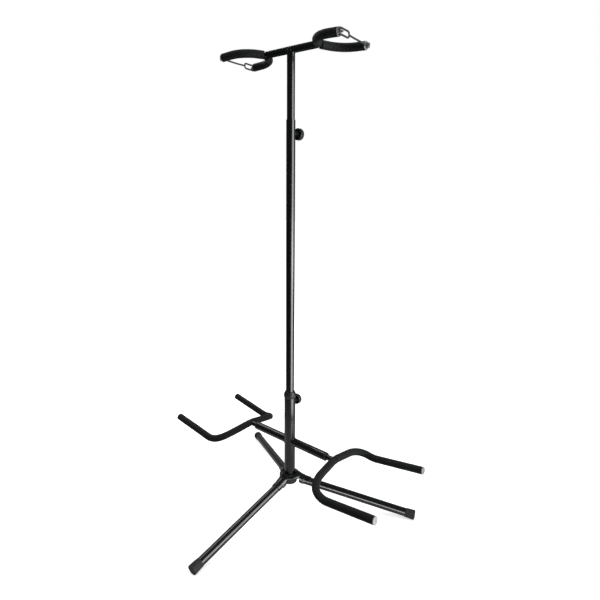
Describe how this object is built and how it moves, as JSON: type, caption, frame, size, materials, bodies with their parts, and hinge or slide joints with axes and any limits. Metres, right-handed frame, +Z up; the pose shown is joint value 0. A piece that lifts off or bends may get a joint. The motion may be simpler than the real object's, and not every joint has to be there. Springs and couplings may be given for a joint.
{
  "type": "double guitar stand",
  "caption": "Free-standing rack that hangs guitars back to back: folding tripod base, telescopic post, plug-in foam cradles and foam neck yokes with safety straps.",
  "frame": {"origin": "on the floor under the post's axis", "axes": "+Z up the post, X along the lower crossbar, -Y towards the front leg"},
  "size_m": [0.6906, 0.5369, 1.1851],
  "materials": {
    "black_steel": "gloss black powder coat",
    "black_plastic": "moulded, fine grain",
    "grey_plastic": "satin light grey",
    "foam": "matte closed-cell foam",
    "foot_rubber": "matte",
    "strap_rubber": "satin",
    "zinc_steel": "zinc plated"
  },
  "bodies": {
    "base": {"base_tube": "black_steel", "hub_spider": "black_steel", "hub_core": "black_plastic", "leg_rivets": "black_steel", "collar_bush": "black_plastic", "lower_clamp_nut": "black_steel", "crossbar_right": "black_steel", "crossbar_left": "black_steel", "cradle_bush_right": "black_plastic", "cradle_bush_left": "black_plastic"},
    "leg_front": {"leg_front_tube": "black_steel", "leg_front_foot": "foot_rubber"},
    "leg_right": {"leg_right_tube": "black_steel", "leg_right_foot": "foot_rubber"},
    "leg_left": {"leg_left_tube": "black_steel", "leg_left_foot": "foot_rubber"},
    "middle_glide": {"middle_guide": "black_plastic"},
    "middle": {"middle_tube": "black_steel", "upper_clamp_nut": "black_steel"},
    "upper_glide": {"upper_guide": "black_plastic"},
    "upper": {"upper_tube": "black_steel", "top_crossbar": "black_steel", "yoke_right_rod": "black_steel", "yoke_left_rod": "black_steel", "yoke_right_foam_a": "foam", "yoke_right_foam_b": "foam", "yoke_left_foam_a": "foam", "yoke_left_foam_b": "foam", "yoke_caps": "grey_plastic", "strap_hooks": "black_plastic", "strap_hinges": "black_plastic"},
    "strap_right": {"strap_right": "strap_rubber"},
    "strap_left": {"strap_left": "strap_rubber"},
    "cradle_right": {"cradle_right_plug": "black_steel", "cradle_right_rod": "black_steel", "cradle_right_foam_a": "foam", "cradle_right_foam_b": "foam", "cradle_right_caps": "grey_plastic"},
    "cradle_left": {"cradle_left_plug": "black_steel", "cradle_left_rod": "black_steel", "cradle_left_foam_a": "foam", "cradle_left_foam_b": "foam", "cradle_left_caps": "grey_plastic"},
    "lower_screw": {"lower_clamp_screw": "zinc_steel"},
    "lower_knob": {"lower_clamp_knob": "black_plastic"},
    "upper_screw": {"upper_clamp_screw": "zinc_steel"},
    "upper_knob": {"upper_clamp_knob": "black_plastic"}
  },
  "joints": [
    {"name": "leg_front_fold", "type": "hinge", "parent": "base", "child": "leg_front", "pos_m": [0.00049, -0.04, 0.0693], "axis": [0.9999, 0.0122, 0], "range_deg": [0, 79.4]},
    {"name": "leg_right_fold", "type": "hinge", "parent": "base", "child": "leg_right", "pos_m": [0.03583, 0.01778, 0.0693], "axis": [-0.4446, 0.8957, 0], "range_deg": [0, 79.4]},
    {"name": "leg_left_fold", "type": "hinge", "parent": "base", "child": "leg_left", "pos_m": [-0.03464, 0.02, 0.0693], "axis": [-0.5, -0.866, 0], "range_deg": [0, 79.4]},
    {"name": "middle_height", "type": "slide", "parent": "base", "child": "middle_glide", "axis": [0, 0, 1], "range_m": [-0.15, 0.05]},
    {"name": "middle_turn", "type": "hinge", "parent": "middle_glide", "child": "middle", "pos_m": [0, 0, 0.215], "axis": [0, 0, 1], "continuous": true},
    {"name": "upper_height", "type": "slide", "parent": "middle", "child": "upper_glide", "axis": [0, 0, 1], "range_m": [-0.135, 0.12]},
    {"name": "upper_turn", "type": "hinge", "parent": "upper_glide", "child": "upper", "pos_m": [0, 0, 0.776], "axis": [0, 0, 1], "continuous": true},
    {"name": "cradle_right_pull", "type": "slide", "parent": "base", "child": "cradle_right", "axis": [1, 0, 0], "range_m": [0, 0.03]},
    {"name": "cradle_left_pull", "type": "slide", "parent": "base", "child": "cradle_left", "axis": [-1, 0, 0], "range_m": [0, 0.03]},
    {"name": "strap_right_open", "type": "hinge", "parent": "upper", "child": "strap_right", "pos_m": [0.16554, 0.06425, 1.17116], "axis": [0.0523, 0.0027, 0.9986], "range_deg": [0, 110]},
    {"name": "strap_left_open", "type": "hinge", "parent": "upper", "child": "strap_left", "pos_m": [-0.16554, -0.06425, 1.17116], "axis": [-0.0523, -0.0027, 0.9986], "range_deg": [0, 110]},
    {"name": "lower_screw_travel", "type": "slide", "parent": "base", "child": "lower_screw", "axis": [0, 1, 0], "range_m": [0, 0.002]},
    {"name": "lower_knob_turn", "type": "hinge", "parent": "lower_screw", "child": "lower_knob", "pos_m": [0, 0.0225, 0.302], "axis": [0, 1, 0], "range_deg": [0, 720]},
    {"name": "upper_screw_travel", "type": "slide", "parent": "middle", "child": "upper_screw", "axis": [0, 1, 0], "range_m": [0, 0.002]},
    {"name": "upper_knob_turn", "type": "hinge", "parent": "upper_screw", "child": "upper_knob", "pos_m": [0, 0.0225, 0.996], "axis": [0, 1, 0], "range_deg": [0, 720]}
  ],
  "couplings": [
    {"joint": "lower_knob_turn", "follows": "lower_screw_travel", "rad_per_m": 6283.2},
    {"joint": "upper_knob_turn", "follows": "upper_screw_travel", "rad_per_m": 6283.2}
  ]
}
